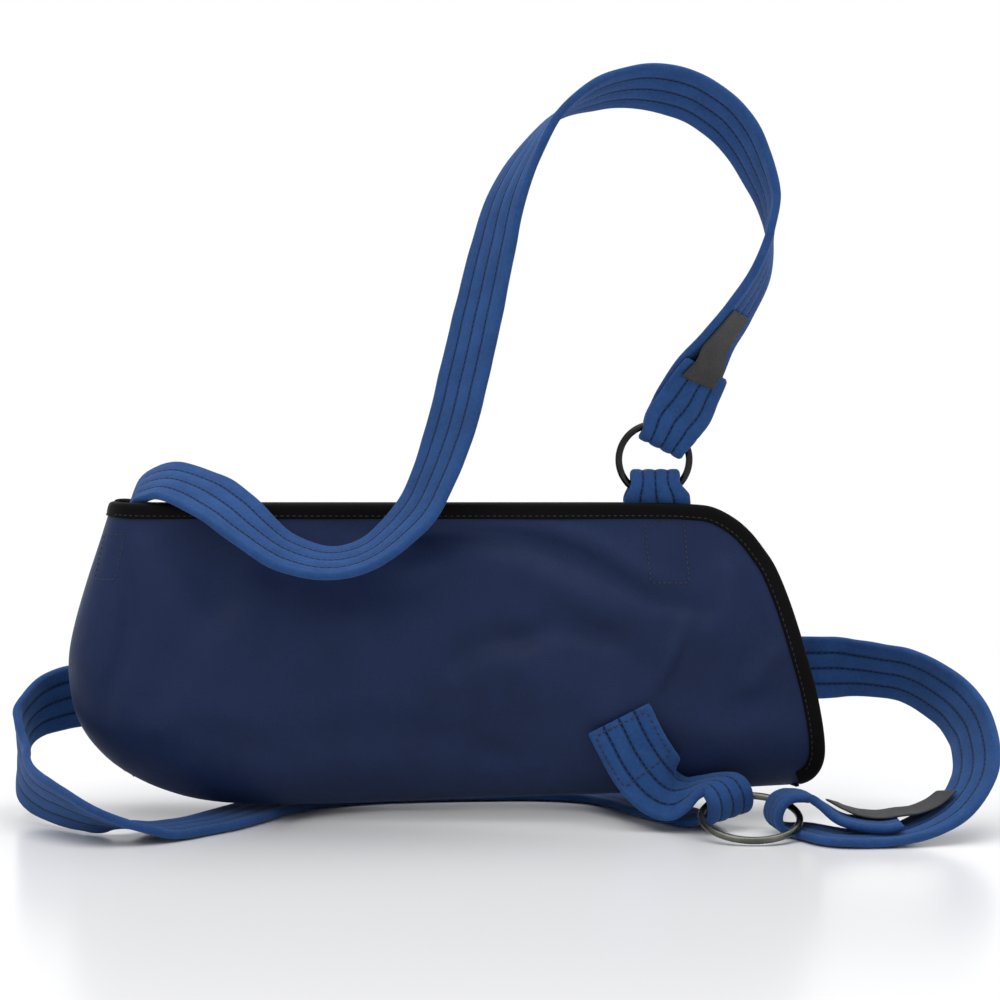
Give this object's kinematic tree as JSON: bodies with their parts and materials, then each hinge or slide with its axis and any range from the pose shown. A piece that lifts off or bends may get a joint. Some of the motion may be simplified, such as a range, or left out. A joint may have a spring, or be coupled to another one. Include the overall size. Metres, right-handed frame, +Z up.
{
  "type": "arm sling",
  "caption": "Arm sling: fabric forearm pouch with bound rim, padded shoulder strap and waist strap, each looped through a metal ring and closed by a hook-and-loop tongue.",
  "frame": {"origin": "bottom centre of the whole object's box: on the surface it rests on, under the middle of its length and depth", "axes": "+X along the pouch from the elbow end to the hand end, +Y from the pouch's front panel to its back panel, +Z up out of the pouch's mouth"},
  "size_m": [0.557, 0.1862, 0.4276],
  "materials": {
    "pouch_fabric": "matte close-woven laminated cloth",
    "edge_binding": "matte knitted tape",
    "padded_webbing": "brushed loop pile",
    "thread": "twisted sewing thread",
    "hook_tape": "dense moulded hooks",
    "black_steel": "gloss black",
    "gunmetal": "satin dark plated wire"
  },
  "bodies": {
    "pouch": {"front_panel": "pouch_fabric", "front_binding": "edge_binding", "ring_tab": "padded_webbing", "ring_tab_box_stitch": "thread", "elbow_box_stitch": "thread", "shoulder_strap_anchor": "padded_webbing", "waist_strap_left": "padded_webbing", "waist_strap_right": "padded_webbing"},
    "back": {"back_panel": "pouch_fabric", "back_binding": "edge_binding", "waist_strap_back": "padded_webbing"},
    "shoulder_strap": {"shoulder_strap": "padded_webbing"},
    "shoulder_ring": {"shoulder_ring": "black_steel"},
    "shoulder_tongue": {"shoulder_tongue": "padded_webbing", "shoulder_hook_tab": "hook_tape"},
    "waist_ring": {"waist_ring": "gunmetal"},
    "waist_tongue_left": {"waist_tongue_left": "padded_webbing"},
    "waist_tongue_right": {"waist_tongue_right": "padded_webbing", "waist_hook_strip": "hook_tape"}
  },
  "joints": [
    {"name": "pouch_open", "type": "hinge", "parent": "pouch", "child": "back", "pos_m": [-0.03071, 0.01307, 0.004], "axis": [-1, 0, 0], "range_deg": [0, 10], "stiffness_Nm_per_rad": 1},
    {"name": "shoulder_strap_swing", "type": "hinge", "parent": "pouch", "child": "shoulder_strap", "pos_m": [-0.20871, 0.01107, 0.1865], "axis": [-0.9998, 0.0202, -0.0034], "range_deg": [0, 80], "stiffness_Nm_per_rad": 0.6},
    {"name": "shoulder_ring_spin", "type": "hinge", "parent": "shoulder_strap", "child": "shoulder_ring", "pos_m": [0.08779, 0.00507, 0.2045], "axis": [0, 1, 0], "continuous": true},
    {"name": "shoulder_tongue_peel", "type": "hinge", "parent": "shoulder_strap", "child": "shoulder_tongue", "pos_m": [0.09929, -0.00263, 0.228], "axis": [0.8924, 0, -0.4512], "range_deg": [0, 90], "stiffness_Nm_per_rad": 0.05},
    {"name": "waist_ring_spin", "type": "hinge", "parent": "pouch", "child": "waist_ring", "pos_m": [0.13829, -0.05693, 0.0103], "axis": [0, -0.289, 0.9573], "continuous": true},
    {"name": "waist_tongue_left_lift", "type": "hinge", "parent": "pouch", "child": "waist_tongue_left", "pos_m": [0.09129, -0.03893, 0.024], "axis": [0.5014, 0.6017, 0.6217], "range_deg": [0, 75], "stiffness_Nm_per_rad": 0.1},
    {"name": "waist_tongue_right_lift", "type": "hinge", "parent": "pouch", "child": "waist_tongue_right", "pos_m": [0.16669, -0.04873, 0.0238], "axis": [0.2, -0.9798, 0], "range_deg": [0, 75], "stiffness_Nm_per_rad": 0.1}
  ]
}
